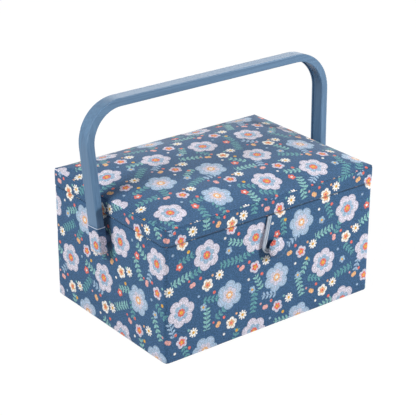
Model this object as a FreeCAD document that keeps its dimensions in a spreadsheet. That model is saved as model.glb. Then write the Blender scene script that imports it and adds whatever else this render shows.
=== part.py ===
import FreeCAD, Part
import Sketcher
import math
import os
import re

# Sewing box: a cloth-covered board box with a padded hinged lid, a swinging handle,
# a lift-out tray and a cord loop over a button. The origin is the middle of the base,
# on the surface that the box stands on; X is the width, the front faces -Y, Z is up.

# Driving sizes in millimetres, angles in degrees
SIZES = {
    # Body of the box
    "box_width": 255.0,
    "box_depth": 185.0,
    "body_height": 118.5,
    "corner_radius": 3.2,
    "cover": 0.8,
    "turn_in": 15.0,
    "board": 2.5,
    "base_cloth": 0.8,
    "lining": 3.0,
    "lining_floor": 2.0,
    "round_share": 0.9,
    # Tray
    "tray_drop": 3.5,
    "tray_height": 30.0,
    "tray_wall": 1.6,
    "tray_floor": 1.8,
    "tray_lip": 1.6,
    "tray_gap": 0.8,
    "tray_corner": 6.0,
    "front_row": 52.0,
    # Lid
    "seam_gap": 0.3,
    "lid_skirt": 16.4,
    "lid_overhang": 0.5,
    "lid_corner": 3.4,
    "lid_crown": 9.8,
    "lid_lining": 1.5,
    "pocket_width": 190.0,
    "pocket_length": 78.0,
    "pocket_bulge": 6.4,
    "pocket_cloth": 1.0,
    "pocket_margin": 12.0,
    "elastic_width": 6.0,
    "elastic_thickness": 0.8,
    "cushion_width": 84.0,
    "cushion_length": 46.0,
    "cushion_height": 7.5,
    "cushion_corner": 9.0,
    "cushion_margin": 12.0,
    "hinge_cloth": 0.6,
    "hinge_reach": 14.0,
    "hinge_inset": 6.0,
    # Handle, measured from its pivot in its own plane
    "pivot_drop": 22.0,
    "handle_rise": 133.0,
    "handle_splay": 3.0,
    "handle_lean": 4.3,
    "bend_radius": 40.0,
    "grip_depth": 15.6,
    "grip_thickness": 8.0,
    "grip_round": 0.8,
    "channel_width": 11.0,
    "channel_depth": 1.0,
    "leg_tail": 11.5,
    "foot_top": 13.7,
    "foot_bottom": 13.3,
    "foot_wall": 0.6,
    "foot_fit": 0.1,
    # Pivots of the handle
    "rivet_diameter": 5.0,
    "rivet_play": 0.05,
    "rivet_head": 9.0,
    "rivet_head_height": 1.9,
    "head_seat": 2.6,
    "head_play": 0.4,
    "rivet_tail": 8.0,
    "rivet_tail_height": 1.0,
    "washer_diameter": 12.0,
    "washer_thickness": 1.0,
    "spacer_diameter": 12.0,
    "spacer_length": 5.0,
    "spacer_play": 0.3,
    "hole_play": 0.2,
    # Closure, near the middle of the front
    "closure_left": 0.5,
    "button_drop": 32.5,
    "button_diameter": 20.5,
    "button_thickness": 4.8,
    "button_side": 2.3,
    "button_soft": 0.9,
    "button_stand": 5.5,
    "neck_diameter": 6.0,
    "stud_diameter": 4.0,
    "stud_head": 7.0,
    "stud_head_height": 0.8,
    "cord_diameter": 2.0,
}

# Sizes worked out from the driving ones
WORKED = {
    "board_width": "box_width - 2 * cover",
    "board_depth": "box_depth - 2 * cover",
    "board_round": "min(corner_radius - cover; round_share * board)",
    "room_width": "board_width - 2 * board - 2 * cover",
    "room_depth": "board_depth - 2 * board - 2 * cover",
    "base_top": "base_cloth + board",
    "wall_height": "body_height - cover - base_top",
    "lining_bottom": "base_top + lining_floor",
    "ledge": "body_height - tray_drop",
    "lining_height": "ledge - lining_bottom",
    "tub_width": "room_width - 2 * lining - 2 * tray_gap",
    "tub_depth": "room_depth - 2 * lining - 2 * tray_gap",
    "cell_width": "tub_width - 2 * tray_wall",
    "back_row": "tub_depth - 3 * tray_wall - front_row",
    "cell_depth": "tray_height - tray_floor",
    "tray_top": "ledge + tray_lip",
    "lid_bottom": "body_height + seam_gap",
    "fold": "lid_bottom + lid_skirt",
    "lid_width": "box_width + 2 * lid_overhang",
    "lid_depth": "box_depth + lid_overhang",
    "lid_middle": "-lid_overhang / 2",
    "lid_board_width": "lid_width - 2 * cover",
    "lid_board_depth": "lid_depth - 2 * cover",
    "lid_round": "min(lid_corner - cover; round_share * board)",
    "rail_bottom": "lid_bottom + cover",
    "lid_board_bottom": "fold - cover - board",
    "rail_height": "lid_board_bottom - rail_bottom",
    "lid_room_width": "lid_board_width - 2 * board - 2 * cover",
    "lid_room_depth": "lid_board_depth - 2 * board - 2 * cover",
    "lid_ceiling": "lid_board_bottom - lid_lining",
    "pocket_back": "lid_middle + lid_room_depth / 2 - pocket_margin",
    "pocket_mouth": "pocket_back - pocket_length",
    "cushion_middle": "lid_middle - lid_room_depth / 2 + cushion_margin + cushion_length / 2",
    "pivot_height": "body_height - pivot_drop",
    "button_height": "body_height - button_drop",
    "splay_slope": "tan(handle_splay)",
    "spacer_end": "box_width / 2 + spacer_length",
    "foot_inside": "spacer_end + spacer_play + splay_slope * spacer_diameter / 2",
    "grip_half": "grip_thickness / 2",
    "leg_half": "grip_half / cos(handle_splay)",
    "leg_middle": "foot_inside + foot_wall + foot_fit + leg_half",
    "handle_reach": "leg_middle + grip_half",
    "bar_middle": "handle_rise - grip_half",
    "bend_middle": "bend_radius - grip_half",
    "bend_run": "bend_middle * tan((90 + handle_splay) / 2)",
    "bend_corner": "leg_middle + bar_middle * splay_slope",
    "bend_side": "bend_corner - bend_run * sin(handle_splay)",
    "bend_start": "bar_middle - bend_run * cos(handle_splay)",
    "bend_end": "bend_corner - bend_run",
    "leg_end": "leg_middle - leg_tail * splay_slope",
    "bore_radius": "rivet_diameter / 2 + rivet_play",
    "seat_reach": "handle_reach - head_seat",
    "board_inside": "box_width / 2 - cover - board",
}

# The padded top rises from the lid's edge: how far in, as shares of half the lid's depth,
# and how high, as shares of the crown
CROWN_INSET_SHARES = (0.0, 0.025, 0.08, 0.22, 0.45, 0.72)
CROWN_RISE_SHARES = (0.0, 0.15, 0.34, 0.61, 0.84, 1.0)
CROWN_ROUND_SHARE = 0.2
# The pin cushion is drawn in at its seam and swells below it
CUSHION_WIDTH_SHARES = (0.95, 1.0, 0.93, 0.62)
CUSHION_DROP_SHARES = (0.0, 0.3, 0.7, 1.0)
# Back row of the tray, left to right
BACK_CELL_SHARES = (0.26, 0.22, 0.22, 0.30)

# The closure loop's route in millimetres: down from the lid's edge, round the button's neck
# and back up beside itself
LOOP_ROUTE = (
    (-7.75, -93.65, 118.4),
    (-11.0, -94.4, 105.7),
    (-13.2, -94.8, 97.2),
    (-14.8, -95.1, 91.4),
    (-15.05, -95.2, 86.2),
    (-11.2, -95.3, 82.1),
    (-5.75, -95.3, 82.0),
    (-0.5, -95.3, 81.2),
    (3.0, -95.3, 82.7),
    (4.4, -95.3, 86.25),
    (2.85, -95.3, 89.75),
    (-0.65, -95.3, 90.95),
    (-3.8, -95.3, 89.35),
    (-5.05, -95.3, 85.7),
    (-8.3, -95.3, 84.2),
    (-11.6, -95.2, 85.5),
    (-13.05, -95.1, 88.8),
    (-12.0, -95.0, 92.6),
    (-10.8, -94.8, 97.0),
    (-8.6, -94.4, 105.7),
    (-5.4, -93.65, 118.4),
)
# Each bend takes this share of the shorter run beside it
BEND_SHARE = 0.45

doc = FreeCAD.newDocument("sewing_box")
sheet = doc.addObject("Spreadsheet::Sheet", "Sizes")
slate = doc.addObject("Spreadsheet::Sheet", "Slate")
WORD = re.compile(r"[a-z][a-z_]*")
parts = {}


def fill_sheet():
    """One row for each size: its name, and its number or formula under that alias."""
    rows = [(name, str(number)) for name, number in SIZES.items()]
    rows += [(name, "=" + text) for name, text in WORKED.items()]
    for row, (name, content) in enumerate(rows, start=1):
        sheet.set("A%d" % row, name)
        sheet.setAlias("B%d" % row, name)
        sheet.set("B%d" % row, content)
    doc.recompute()


def spell(text):
    """A formula with each size named by its cell in the sheet."""
    known = {**SIZES, **WORKED}
    return WORD.sub(lambda found: ("Sizes." if found.group() in known else "") + found.group(), text)


def bind(item, prop, text):
    """Tie a property to a formula in the sheet's words."""
    item.setExpression(prop, spell(text))


def amount(text):
    """The number that a formula in the sheet's words gives now, worked out on a sheet of its own."""
    slate.set("A1", "=" + spell(text))
    slate.recompute()
    return float(slate.get("A1"))


def keep(label, item):
    """Name a finished piece as one of the part's nodes."""
    item.Label = label
    parts[label] = item
    return item


# Building blocks

def block(label, size, corner):
    """A plain board: its size along X, Y and Z, and its low corner."""
    box = doc.addObject("Part::Box", label)
    for prop, text in zip(("Length", "Width", "Height"), size):
        bind(box, prop, text)
    place(box, corner)
    return box


def place(item, corner):
    for axis, text in zip("xyz", corner):
        bind(item, "Placement.Base." + axis, text)


def rod(name, diameter, length, start, direction):
    """A round cutter: its diameter, its length, and the start and direction of its axis."""
    cylinder = doc.addObject("Part::Cylinder", name)
    bind(cylinder, "Radius", "(%s) / 2" % diameter)
    bind(cylinder, "Height", length)
    turn = FreeCAD.Rotation(FreeCAD.Vector(0, 0, 1), FreeCAD.Vector(*direction))
    cylinder.Placement = FreeCAD.Placement(FreeCAD.Vector(), turn)
    place(cylinder, start)
    return cylinder


def cut(base, tool):
    """The base with the tool taken away; the tool has to bite."""
    result = doc.addObject("Part::Cut", base.Name + "_cut")
    result.Base = base
    result.Tool = tool
    doc.recompute()
    if not result.Shape.Volume < base.Shape.Volume:
        raise ValueError(base.Label + ": a cut misses the piece")
    return result


def new_body(label):
    return doc.addObject("PartDesign::Body", label)


def sketch_on(body, role, offset=("0", "0", "0")):
    """A sketch on one of the body's own planes, moved in that plane's frame."""
    sketch = body.newObject("Sketcher::SketchObject", body.Name + "_sketch")
    plane = [item for item in body.Origin.OriginFeatures if item.Role == role][0]
    sketch.AttachmentSupport = [(plane, "")]
    sketch.MapMode = "FlatFace"
    for axis, text in zip("xyz", offset):
        bind(sketch, "AttachmentOffset.Base." + axis, text)
    return sketch


def dimension(sketch, kind, where, text):
    """A driving dimension of a sketch, tied to a formula."""
    index = sketch.addConstraint(Sketcher.Constraint(kind, *where, amount(text)))
    bind(sketch, "Constraints[%d]" % index, text)


def rounded_rectangle(sketch, width, depth, radius, middle="0"):
    """A rectangle with round corners, centred on X and at middle along Y."""
    r = amount(radius)
    x = amount(width) / 2 - r
    y = amount(depth) / 2 - r
    shift = amount(middle)
    corners = ((x, shift - y), (x, shift + y), (-x, shift + y), (-x, shift - y))
    first = sketch.GeometryCount
    z_axis = FreeCAD.Vector(0, 0, 1)
    for turn, centre in enumerate(corners):
        start = (turn - 1) * math.pi / 2
        circle = Part.Circle(FreeCAD.Vector(*centre, 0), z_axis, r)
        sketch.addGeometry(Part.ArcOfCircle(circle, start, start + math.pi / 2))
    for turn in range(len(corners)):
        this_arc = sketch.Geometry[first + turn]
        next_arc = sketch.Geometry[first + (turn + 1) % len(corners)]
        sketch.addGeometry(Part.LineSegment(this_arc.EndPoint, next_arc.StartPoint))
    for turn in range(len(corners)):
        arc = first + turn
        line = arc + len(corners)
        sketch.addConstraint(Sketcher.Constraint("Tangent", arc, 2, line, 1))
        sketch.addConstraint(Sketcher.Constraint("Tangent", line, 2, first + (turn + 1) % len(corners), 1))
        sketch.addConstraint(Sketcher.Constraint("Horizontal" if turn % 2 else "Vertical", line))
        if turn:
            sketch.addConstraint(Sketcher.Constraint("Equal", first, arc))
    dimension(sketch, "Radius", (first,), radius)
    for arc, sign in ((first + 1, ""), (first + 3, "-")):
        across = "%s((%s) / 2 - (%s))" % (sign, width, radius)
        along = "%s + %s((%s) / 2 - (%s))" % (middle, sign, depth, radius)
        dimension(sketch, "DistanceX", (-1, 1, arc, 3), across)
        dimension(sketch, "DistanceY", (-1, 1, arc, 3), along)


def outline(sketch, steps, closed=True):
    """Lines and arcs from point to point. A point is a pair of formulas; a single formula
    between two points is the radius of the anticlockwise arc that joins them, and one that
    starts with a minus sign is the radius of a clockwise arc."""
    points = [step for step in steps if not isinstance(step, str)]
    spots = [FreeCAD.Vector(amount(x), amount(y), 0) for x, y in points]
    radii = {}
    for index, step in enumerate(steps):
        if isinstance(step, str):
            radii[sum(not isinstance(other, str) for other in steps[:index]) - 1] = step
    spans = len(points) if closed else len(points) - 1
    ends = []
    for span in range(spans):
        a = spots[span]
        b = spots[(span + 1) % len(spots)]
        if span in radii:
            clockwise = radii[span].startswith("-")
            ends.append(add_arc(sketch, a, b, amount(radii[span].lstrip("-")), clockwise))
        else:
            ends.append((sketch.addGeometry(Part.LineSegment(a, b)), 1, 2))
    for span in range(spans if closed else spans - 1):
        here = ends[span]
        there = ends[(span + 1) % spans]
        sketch.addConstraint(Sketcher.Constraint("Coincident", here[0], here[2], there[0], there[1]))
    for span, text in radii.items():
        dimension(sketch, "Radius", (ends[span][0],), text.lstrip("-"))
    for index, (x, y) in enumerate(points):
        geometry, start, end = ends[min(index, spans - 1)]
        corner = start if index < spans else end
        for kind, text, axis in (("DistanceX", x, -2), ("DistanceY", y, -1)):
            if text == "0":
                sketch.addConstraint(Sketcher.Constraint("PointOnObject", geometry, corner, axis))
            else:
                dimension(sketch, kind, (-1, 1, geometry, corner), text)


def rectangle(sketch, left, right, low, high):
    outline(sketch, [(left, low), (right, low), (right, high), (left, high)])


def add_arc(sketch, a, b, radius, clockwise):
    """An arc of under a half circle from a to b; gives its number and its start and end corners."""
    chord = b - a
    rise = math.sqrt(max(radius * radius - chord.Length * chord.Length / 4, 0))
    side = FreeCAD.Vector(-chord.y, chord.x, 0).normalize()
    centre = (a + b) * 0.5 + side * (-rise if clockwise else rise)
    first, last = (b, a) if clockwise else (a, b)
    start = math.atan2(first.y - centre.y, first.x - centre.x)
    stop = math.atan2(last.y - centre.y, last.x - centre.x)
    if stop < start:
        stop += 2 * math.pi
    circle = Part.Circle(centre, FreeCAD.Vector(0, 0, 1), radius)
    number = sketch.addGeometry(Part.ArcOfCircle(circle, start, stop))
    return (number, 2, 1) if clockwise else (number, 1, 2)


def pad(body, sketch, length, reverse=False, midplane=False):
    feature = body.newObject("PartDesign::Pad", body.Name + "_pad")
    feature.Profile = sketch
    bind(feature, "Length", length)
    feature.Reversed = reverse
    feature.Midplane = midplane
    doc.recompute()
    return feature


def pocket(body, sketch, length, reverse=False, midplane=False):
    """Cut a sketch into the body; it has to take something away."""
    before = body.Shape.Volume
    feature = body.newObject("PartDesign::Pocket", body.Name + "_pocket")
    feature.Profile = sketch
    bind(feature, "Length", length)
    feature.Reversed = reverse
    feature.Midplane = midplane
    doc.recompute()
    if not body.Shape.Volume < before:
        raise ValueError(body.Label + ": a pocket misses the piece")
    return feature


def revolve(body, sketch, axis):
    feature = body.newObject("PartDesign::Revolution", body.Name + "_turned")
    feature.Profile = sketch
    feature.ReferenceAxis = (sketch, [axis])
    doc.recompute()
    return feature


def loft(body, sections, kind="PartDesign::AdditiveLoft"):
    feature = body.newObject(kind, body.Name + "_loft")
    feature.Profile = sections[0]
    feature.Sections = sections[1:]
    feature.Ruled = True
    doc.recompute()
    return feature


def bore(body, role, spot, radius, length, offset="0", reverse=False, midplane=False):
    """A round hole from one of the body's planes, at a spot in that plane."""
    sketch = sketch_on(body, role, ("0", "0", offset))
    centre = FreeCAD.Vector(amount(spot[0]), amount(spot[1]), 0)
    sketch.addGeometry(Part.Circle(centre, FreeCAD.Vector(0, 0, 1), amount(radius)))
    dimension(sketch, "Radius", (0,), radius)
    for kind, text, axis in (("DistanceX", spot[0], -2), ("DistanceY", spot[1], -1)):
        if text == "0":
            sketch.addConstraint(Sketcher.Constraint("PointOnObject", 0, 3, axis))
        else:
            dimension(sketch, kind, (-1, 1, 0, 3), text)
    return pocket(body, sketch, length, reverse, midplane)


def pair(label, right):
    """The piece on the right and its mirror image on the left, as one node."""
    left = doc.addObject("Part::Mirroring", label + "_left")
    left.Source = right
    left.Normal = FreeCAD.Vector(1, 0, 0)
    both = doc.addObject("Part::Compound", label)
    both.Links = [right, left]
    return keep(label, both)


# Body of the box

def base():
    cloth = new_body("base_cloth_body")
    sketch = sketch_on(cloth, "XY_Plane")
    rounded_rectangle(sketch, "board_width", "board_depth", "board_round")
    pad(cloth, sketch, "base_cloth")
    keep("base_cloth", cloth)
    card = new_body("base_board_body")
    sketch = sketch_on(card, "XY_Plane", ("0", "0", "base_cloth"))
    rounded_rectangle(sketch, "board_width", "board_depth", "board_round")
    pad(card, sketch, "board")
    keep("base_board", card)


def long_board(label, width, outside, inside, round_off, bottom, height, front):
    """A front or back board, whose two outer upright edges are rounded."""
    card = new_body(label + "_body")
    sketch = sketch_on(card, "XY_Plane", ("0", "0", bottom))
    edge = "(%s) / 2" % width
    if front:
        shoulder = "%s + %s" % (outside, round_off)
        outline(sketch, [
            ("-%s + %s" % (edge, round_off), outside), ("%s - %s" % (edge, round_off), outside), round_off,
            (edge, shoulder), (edge, inside), ("-%s" % edge, inside), ("-%s" % edge, shoulder), round_off])
    else:
        shoulder = "%s - %s" % (outside, round_off)
        outline(sketch, [
            ("-%s" % edge, inside), (edge, inside), (edge, shoulder), round_off,
            ("%s - %s" % (edge, round_off), outside), ("-%s + %s" % (edge, round_off), outside), round_off,
            ("-%s" % edge, shoulder)])
    pad(card, sketch, height)
    return keep(label, card)


def walls():
    face = "board_depth / 2"
    front = long_board("front_board", "board_width", "-" + face, "board - " + face, "board_round",
                       "base_top", "wall_height", True)
    bore(front, "XZ_Plane", ("-closure_left", "button_height"), "stud_diameter / 2 + hole_play",
         "box_depth", midplane=True)
    long_board("back_board", "board_width", face, face + " - board", "board_round",
               "base_top", "wall_height", False)
    size = ("board", "board_depth - 2 * board", "wall_height")
    for label, low in (("left_board", "-board_width / 2"), ("right_board", "board_width / 2 - board")):
        card = block(label + "_card", size, (low, "board - " + face, "base_top"))
        hole = rod(label + "_hole", "rivet_diameter + 2 * hole_play", "board",
                   (low, "0", "pivot_height"), (1, 0, 0))
        keep(label, cut(card, hole))


def outer_cover():
    """Printed cloth round the walls, over the rim and a little way down inside."""
    cloth = new_body("outer_cover_body")
    sketch = sketch_on(cloth, "XY_Plane")
    rounded_rectangle(sketch, "box_width", "box_depth", "corner_radius")
    pad(cloth, sketch, "body_height")
    inside = sketch_on(cloth, "XY_Plane")
    rectangle(inside, "-room_width / 2", "room_width / 2", "-room_depth / 2", "room_depth / 2")
    pocket(cloth, inside, "body_height", reverse=True)
    below = sketch_on(cloth, "XY_Plane")
    rounded_rectangle(below, "board_width", "board_depth", "board_round")
    pocket(cloth, below, "body_height - turn_in", reverse=True)
    turned = sketch_on(cloth, "XY_Plane", ("0", "0", "body_height - turn_in"))
    rounded_rectangle(turned, "board_width", "board_depth", "board_round")
    rectangle(turned, "-board_inside", "board_inside", "board - board_depth / 2", "board_depth / 2 - board")
    pocket(cloth, turned, "turn_in - cover", reverse=True)
    bore(cloth, "XZ_Plane", ("-closure_left", "button_height"), "stud_diameter / 2 + hole_play",
         "box_depth", reverse=True)
    bore(cloth, "YZ_Plane", ("0", "pivot_height"), "rivet_diameter / 2 + hole_play",
         "2 * box_width", midplane=True)
    keep("outer_cover", cloth)


def linings():
    """Padded cards inside: a floor, two long walls and two short ones between them."""
    keep("lining_floor", block("lining_floor", ("room_width", "room_depth", "lining_floor"),
                               ("-room_width / 2", "-room_depth / 2", "base_top")))
    long_size = ("room_width", "lining", "lining_height")
    front = block("lining_front_card", long_size, ("-room_width / 2", "-room_depth / 2", "lining_bottom"))
    window = rod("lining_front_hole", "washer_diameter + 2 * head_play", "lining",
                 ("-closure_left", "-room_depth / 2", "button_height"), (0, 1, 0))
    keep("lining_front", cut(front, window))
    keep("lining_back", block("lining_back", long_size,
                              ("-room_width / 2", "room_depth / 2 - lining", "lining_bottom")))
    short_size = ("lining", "room_depth - 2 * lining", "lining_height")
    for label, low in (("lining_left", "-room_width / 2"), ("lining_right", "room_width / 2 - lining")):
        card = block(label + "_card", short_size, (low, "lining - room_depth / 2", "lining_bottom"))
        window = rod(label + "_hole", "washer_diameter + 2 * head_play", "lining",
                     (low, "0", "pivot_height"), (1, 0, 0))
        keep(label, cut(card, window))


# Closure

def button():
    """Cloth-covered head with a domed face, on a neck whose stud goes through the front."""
    head = new_body("button_body")
    sketch = sketch_on(head, "XY_Plane")
    rim = "button_diameter / 2"
    back = "-button_stand"
    side = "-button_stand - button_side"
    face = "-button_stand - button_thickness"
    dome = "button_thickness - button_side"
    arch = "((%s) ^ 2 + (%s) ^ 2) / (2 * (%s))" % (rim, dome, dome)
    outline(sketch, [("0", back), ("0", face), arch, (rim, side), (rim, back)])
    turned = revolve(head, sketch, "V_Axis")
    soften(head, turned, "button_soft", amount(rim))
    place(head, ("-closure_left", "-box_depth / 2", "button_height"))
    keep("button", head)

    neck = new_body("button_shank_body")
    sketch = sketch_on(neck, "XY_Plane")
    stop = "cover + board + washer_thickness"
    end = stop + " + stud_head_height"
    outline(sketch, [
        ("0", back), ("neck_diameter / 2", back), ("neck_diameter / 2", "0"), ("stud_diameter / 2", "0"),
        ("stud_diameter / 2", stop), ("stud_head / 2", stop), ("stud_head / 2", end), ("0", end)])
    revolve(neck, sketch, "V_Axis")
    place(neck, ("-closure_left", "-box_depth / 2", "button_height"))
    keep("button_shank", neck)

    washer = new_body("button_washer_body")
    sketch = sketch_on(washer, "XY_Plane")
    rectangle(sketch, "stud_diameter / 2 + hole_play", "washer_diameter / 2", "cover + board", stop)
    revolve(washer, sketch, "V_Axis")
    place(washer, ("-closure_left", "-box_depth / 2", "button_height"))
    keep("button_washer", washer)


def soften(body, feature, radius, rim):
    """Round the circular edges of a turned piece that lie on its rim."""
    names = []
    for number, edge in enumerate(feature.Shape.Edges, start=1):
        is_round = not edge.Degenerated and isinstance(edge.Curve, Part.Circle)
        if is_round and math.isclose(edge.Curve.Radius, rim):
            names.append("Edge%d" % number)
    fillet = body.newObject("PartDesign::Fillet", body.Name + "_soft")
    fillet.Base = (feature, names)
    bind(fillet, "Radius", radius)
    doc.recompute()


def closure_loop():
    """Elastic cord from the lid's edge round the button's neck and back."""
    route = [FreeCAD.Vector(*point) for point in LOOP_ROUTE]
    edges = []
    here = route[0]
    radii = []
    for before, corner, after in zip(route, route[1:], route[2:]):
        arrive = corner - before
        leave = after - corner
        turn = arrive.getAngle(leave)
        reach = BEND_SHARE * min(arrive.Length, leave.Length)
        radii.append(reach / math.tan(turn / 2))
        start = corner - arrive.normalize() * reach
        end = corner + leave.normalize() * reach
        chord = (start + end) * 0.5 - corner
        sagitta = radii[-1] / math.cos(turn / 2) - radii[-1]
        middle = corner + chord.normalize() * sagitta
        edges.append(Part.LineSegment(here, start).toShape())
        edges.append(Part.Arc(start, middle, end).toShape())
        here = end
    edges.append(Part.LineSegment(here, route[-1]).toShape())
    spine = Part.Wire(edges)
    radius = amount("cord_diameter / 2")
    circle = Part.Wire(Part.makeCircle(radius, route[0], route[1] - route[0]))
    tube = doc.addObject("Part::Feature", "closure_loop")
    tube.Shape = spine.makePipeShell([circle], True, False)
    tube.Placement = FreeCAD.Placement()
    ideal = math.pi * radius ** 2 * spine.Length
    print("closure loop: length %.1f, volume share %.4f, radii %s" % (
        spine.Length, tube.Shape.Volume / ideal, ", ".join("%.1f" % r for r in radii)))
    keep("closure_loop", tube)


# Lid

def lid_boards():
    top = new_body("lid_board_body")
    sketch = sketch_on(top, "XY_Plane", ("0", "0", "lid_board_bottom"))
    rounded_rectangle(sketch, "lid_board_width", "lid_board_depth", "lid_round", "lid_middle")
    pad(top, sketch, "board")
    keep("lid_board", top)
    front = "lid_middle - lid_board_depth / 2"
    back = "lid_middle + lid_board_depth / 2"
    long_board("lid_front_rail", "lid_board_width", front, front + " + board", "lid_round",
               "rail_bottom", "rail_height", True)
    long_board("lid_back_rail", "lid_board_width", back, back + " - board", "lid_round",
               "rail_bottom", "rail_height", False)
    size = ("board", "lid_board_depth - 2 * board", "rail_height")
    sides = (("lid_left_rail", "-lid_board_width / 2"), ("lid_right_rail", "lid_board_width / 2 - board"))
    for label, low in sides:
        keep(label, block(label, size, (low, front + " + board", "rail_bottom")))


def crown_sections(body, skin):
    """Sketches of the padded top from its edge to its crown, or of its inside under a skin."""
    sections = []
    for inset_share, rise_share in zip(CROWN_INSET_SHARES, CROWN_RISE_SHARES):
        inset = "%s * lid_depth / 2 + %s" % (inset_share, skin)
        sketch = sketch_on(body, "XY_Plane", ("0", "0", "fold + %s * lid_crown - %s" % (rise_share, skin)))
        width = "lid_width - 2 * (%s)" % inset
        depth = "lid_depth - 2 * (%s)" % inset
        rounding = "lid_corner - %s + %s * %s * lid_depth / 2" % (skin, CROWN_ROUND_SHARE, inset_share)
        rounded_rectangle(sketch, width, depth, rounding, "lid_middle")
        sections.append(sketch)
    return sections


def lid_padding():
    pad_body = new_body("lid_padding_body")
    loft(pad_body, crown_sections(pad_body, "cover"))
    keep("lid_padding", pad_body)


def lid_cover():
    """Printed cloth over the padding and round the rails, turned in under them."""
    cloth = new_body("lid_cover_body")
    skirt = sketch_on(cloth, "XY_Plane", ("0", "0", "lid_bottom"))
    rounded_rectangle(skirt, "lid_width", "lid_depth", "lid_corner", "lid_middle")
    pad(cloth, skirt, "lid_skirt")
    loft(cloth, crown_sections(cloth, "0"))
    loft(cloth, crown_sections(cloth, "cover"), "PartDesign::SubtractiveLoft")
    seat = sketch_on(cloth, "XY_Plane", ("0", "0", "lid_board_bottom"))
    rounded_rectangle(seat, "lid_board_width", "lid_board_depth", "lid_round", "lid_middle")
    pocket(cloth, seat, "board", reverse=True)
    inside = sketch_on(cloth, "XY_Plane", ("0", "0", "lid_bottom"))
    rounded_rectangle(inside, "lid_room_width", "lid_room_depth", "lid_round", "lid_middle")
    pocket(cloth, inside, "lid_board_bottom - lid_bottom", reverse=True)
    rails = sketch_on(cloth, "XY_Plane", ("0", "0", "rail_bottom"))
    rounded_rectangle(rails, "lid_board_width", "lid_board_depth", "lid_round", "lid_middle")
    rounded_rectangle(rails, "lid_room_width + 2 * cover", "lid_room_depth + 2 * cover",
                      "lid_round", "lid_middle")
    pocket(cloth, rails, "rail_height", reverse=True)
    keep("lid_cover", cloth)


def lid_inside():
    """Satin-covered card with a gathered pocket at the back and a pin cushion at the front."""
    card = new_body("lid_lining_body")
    sketch = sketch_on(card, "XY_Plane", ("0", "0", "lid_ceiling"))
    rounded_rectangle(sketch, "lid_room_width", "lid_room_depth", "lid_round", "lid_middle")
    pad(card, sketch, "lid_lining")
    keep("lid_lining", card)

    left = "-pocket_width / 2"
    low = "lid_ceiling - pocket_bulge"
    pouch = block("lid_pocket_cloth", ("pocket_width", "pocket_length", "pocket_bulge"),
                  (left, "pocket_mouth", low))
    room_size = ("pocket_width - 2 * pocket_cloth", "pocket_length - pocket_cloth",
                 "pocket_bulge - pocket_cloth")
    room = block("lid_pocket_room", room_size,
                 (left + " + pocket_cloth", "pocket_mouth", low + " + pocket_cloth"))
    keep("lid_pocket", cut(pouch, room))
    keep("pocket_elastic", block("pocket_elastic", ("pocket_width", "elastic_width", "elastic_thickness"),
                                 (left, "pocket_mouth", low + " - elastic_thickness")))

    cushion = new_body("pin_cushion_body")
    sections = []
    for width_share, drop_share in zip(CUSHION_WIDTH_SHARES, CUSHION_DROP_SHARES):
        sketch = sketch_on(cushion, "XY_Plane", ("0", "0", "lid_ceiling - %s * cushion_height" % drop_share))
        trim = "(1 - %s) * cushion_length" % width_share
        rounded_rectangle(sketch, "cushion_width - " + trim, "cushion_length - " + trim,
                          "%s * cushion_corner" % width_share, "cushion_middle")
        sections.append(sketch)
    loft(cushion, sections)
    keep("pin_cushion", cushion)


def hinge():
    """Cloth across the back seam."""
    size = ("box_width - 2 * hinge_inset", "hinge_cloth", "2 * hinge_reach")
    low = ("hinge_inset - box_width / 2", "box_depth / 2", "body_height - hinge_reach")
    keep("hinge_cloth", block("hinge_cloth", size, low))


# Handle

def stand_up(body):
    """Set a piece of the handle on its pivot, leaning back a little."""
    lean = FreeCAD.Rotation(FreeCAD.Vector(-1, 0, 0), SIZES["handle_lean"])
    body.Placement = FreeCAD.Placement(FreeCAD.Vector(), lean)
    bind(body, "Placement.Base.z", "pivot_height")
    bind(body, "Placement.Rotation.Angle", "handle_lean")


def handle():
    """Moulded U: two splayed legs, two bends and the bar, with a channel along the inside."""
    grip = new_body("handle_body")
    path = sketch_on(grip, "XZ_Plane")
    outline(path, [
        ("-leg_end", "-leg_tail"), ("-bend_side", "bend_start"), "-bend_middle",
        ("-bend_end", "bar_middle"), ("bend_end", "bar_middle"), "-bend_middle",
        ("bend_side", "bend_start"), ("leg_end", "-leg_tail")], closed=False)
    section = sketch_on(grip, "XY_Plane", ("-leg_end", "0", "-leg_tail"))
    section.AttachmentOffset = FreeCAD.Placement(
        section.AttachmentOffset.Base, FreeCAD.Rotation(FreeCAD.Vector(0, -1, 0), SIZES["handle_splay"]))
    bind(section, "AttachmentOffset.Rotation.Angle", "handle_splay")
    deep = "grip_depth / 2"
    deep_in = "grip_depth / 2 - grip_round"
    thick_in = "grip_half - grip_round"
    slot = "channel_width / 2"
    floor = "grip_half - channel_depth"
    outline(section, [
        ("-grip_half", deep_in), ("-grip_half", "-(%s)" % deep_in), "grip_round",
        ("-(%s)" % thick_in, "-" + deep), (thick_in, "-" + deep), "grip_round",
        ("grip_half", "-(%s)" % deep_in), ("grip_half", "-" + slot), (floor, "-" + slot),
        (floor, slot), ("grip_half", slot), ("grip_half", deep_in), "grip_round",
        (thick_in, deep), ("-(%s)" % thick_in, deep), "grip_round"])
    sweep = grip.newObject("PartDesign::AdditivePipe", "handle_sweep")
    sweep.Profile = section
    sweep.Spine = (path, [])
    doc.recompute()
    bore(grip, "YZ_Plane", ("0", "0"), "bore_radius", "4 * handle_reach", midplane=True)
    seat = "rivet_head / 2 + head_play"
    bore(grip, "YZ_Plane", ("0", "0"), seat, "handle_reach", offset="seat_reach", reverse=True)
    bore(grip, "YZ_Plane", ("0", "0"), seat, "handle_reach", offset="-seat_reach")
    stand_up(grip)
    keep("handle", grip)


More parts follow.
